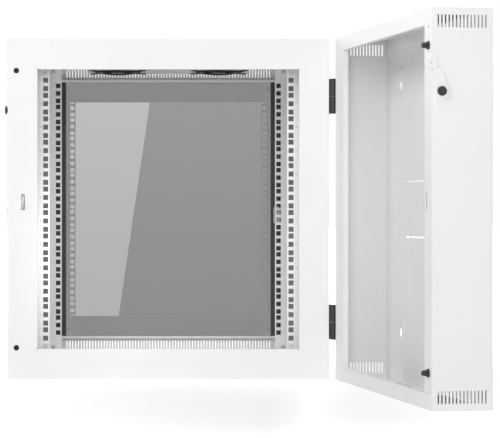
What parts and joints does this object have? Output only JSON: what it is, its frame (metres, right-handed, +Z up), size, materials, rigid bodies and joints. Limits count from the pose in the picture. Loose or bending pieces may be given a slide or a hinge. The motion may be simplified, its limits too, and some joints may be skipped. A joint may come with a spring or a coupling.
{
  "type": "wall mount network cabinet",
  "caption": "Double-section wall cabinet for 19-inch equipment: a shallow frame on the wall carries a hinged body with four rails, ceiling fans and a tinted glass door.",
  "frame": {"origin": "centre of the wall keyhole pattern, on the back face that lies against the wall", "axes": "+Y into the wall, +Z up, +X towards the free side, away from the hinges; the body is swung open from the closed position, in which its door faces -Y"},
  "size_m": [1.3083, 0.7056, 0.635],
  "materials": {
    "case_paint": "fine-textured light grey powder coat, nearly white",
    "rail_paint": "light grey coated steel",
    "profile_paint": "anthracite satin coat",
    "black_casting": "black satin coat",
    "black_plastic": "moulded, matt",
    "fan_plastic": "moulded glass-filled black",
    "brush_bristle": "fine upright bristles",
    "zinc_steel": "bright zinc plate",
    "lock_chrome": "plated",
    "tinted_glass": "smoke-grey toughened glass"
  },
  "bodies": {
    "wall_section": {"wall_frame": "case_paint", "wall_back_panel": "case_paint", "cable_entry_frames": "black_plastic", "cable_entry_brushes": "brush_bristle", "alignment_pegs": "black_plastic", "wall_hinge_leaves": "black_casting", "hinge_pins": "zinc_steel", "hasp_pivot": "black_casting"},
    "hasp": {"hasp_arm": "case_paint"},
    "equipment_body": {"rear_frame": "case_paint", "front_frame": "case_paint", "top_panel": "case_paint", "bottom_panel": "case_paint", "side_panel_free_side": "case_paint", "side_panel_hinge_side": "case_paint", "top_cable_cover": "case_paint", "bottom_cable_cover": "case_paint", "rear_rail_free_side": "rail_paint", "rear_rail_hinge_side": "rail_paint", "front_rail_free_side": "rail_paint", "front_rail_hinge_side": "rail_paint", "rail_brackets": "rail_paint", "rail_screws": "zinc_steel", "fan_tray": "case_paint", "fan_housing_free_side": "fan_plastic", "fan_housing_hinge_side": "fan_plastic", "fan_guards": "black_casting", "body_hinge_leaves": "black_casting", "keeper_stud": "black_casting", "side_lock_housing": "lock_chrome", "panel_lock_housings": "lock_chrome"},
    "fan_rotor_free": {"fan_rotor_free_side": "fan_plastic"},
    "fan_rotor_hinge": {"fan_rotor_hinge_side": "fan_plastic"},
    "side_lock": {"side_lock_plug": "lock_chrome", "side_lock_hook": "zinc_steel"},
    "panel_lock_free": {"panel_lock_plug_free_side": "lock_chrome", "panel_lock_cam_free_side": "zinc_steel"},
    "panel_lock_hinge": {"panel_lock_plug_hinge_side": "lock_chrome", "panel_lock_cam_hinge_side": "zinc_steel"},
    "front_door": {"door_profile_hinge_side": "profile_paint", "door_profile_lock_side": "profile_paint", "door_end_caps": "profile_paint", "door_pivot_pins": "zinc_steel", "door_glass": "tinted_glass", "door_lock_housing": "lock_chrome"},
    "door_lock": {"door_lock_plug": "lock_chrome", "door_lock_cam": "zinc_steel"}
  },
  "joints": [
    {"name": "body_swing", "type": "hinge", "parent": "wall_section", "child": "equipment_body", "pos_m": [-0.3089, -0.1015, 0], "axis": [0, 0, 1], "range_deg": [0, 99.8]},
    {"name": "hasp_swing", "type": "hinge", "parent": "wall_section", "child": "hasp", "pos_m": [0.3014, -0.0841, 0.186], "axis": [1, 0, 0], "range_deg": [-20.6, 62.8]},
    {"name": "side_lock_turn", "type": "hinge", "parent": "equipment_body", "child": "side_lock", "pos_m": [-0.4357, -0.69751, 0], "axis": [-0.1702, -0.9854, 0], "range_deg": [-36, 0]},
    {"name": "panel_lock_free_turn", "type": "hinge", "parent": "equipment_body", "child": "panel_lock_free", "pos_m": [-0.71703, -0.64892, 0.285], "axis": [-0.1702, -0.9854, 0], "range_deg": [0, 90]},
    {"name": "panel_lock_hinge_turn", "type": "hinge", "parent": "equipment_body", "child": "panel_lock_hinge", "pos_m": [-0.61491, -0.05767, 0.285], "axis": [0.1702, 0.9854, 0], "range_deg": [0, 90]},
    {"name": "door_swing", "type": "hinge", "parent": "equipment_body", "child": "front_door", "pos_m": [-0.98353, -0.53794, 0], "axis": [0, 0, 1], "range_deg": [0, 105]},
    {"name": "door_lock_turn", "type": "hinge", "parent": "front_door", "child": "door_lock", "pos_m": [-0.91159, -0.07442, 0], "axis": [-0.9854, 0.1702, 0], "range_deg": [-90, 0]},
    {"name": "fan_spin_free", "type": "hinge", "parent": "equipment_body", "child": "fan_rotor_free", "pos_m": [-0.81441, -0.43421, 0.3], "axis": [0, 0, 1], "continuous": true},
    {"name": "fan_spin_hinge", "type": "hinge", "parent": "equipment_body", "child": "fan_rotor_hinge", "pos_m": [-0.77866, -0.22728, 0.3], "axis": [0, 0, 1], "continuous": true}
  ]
}
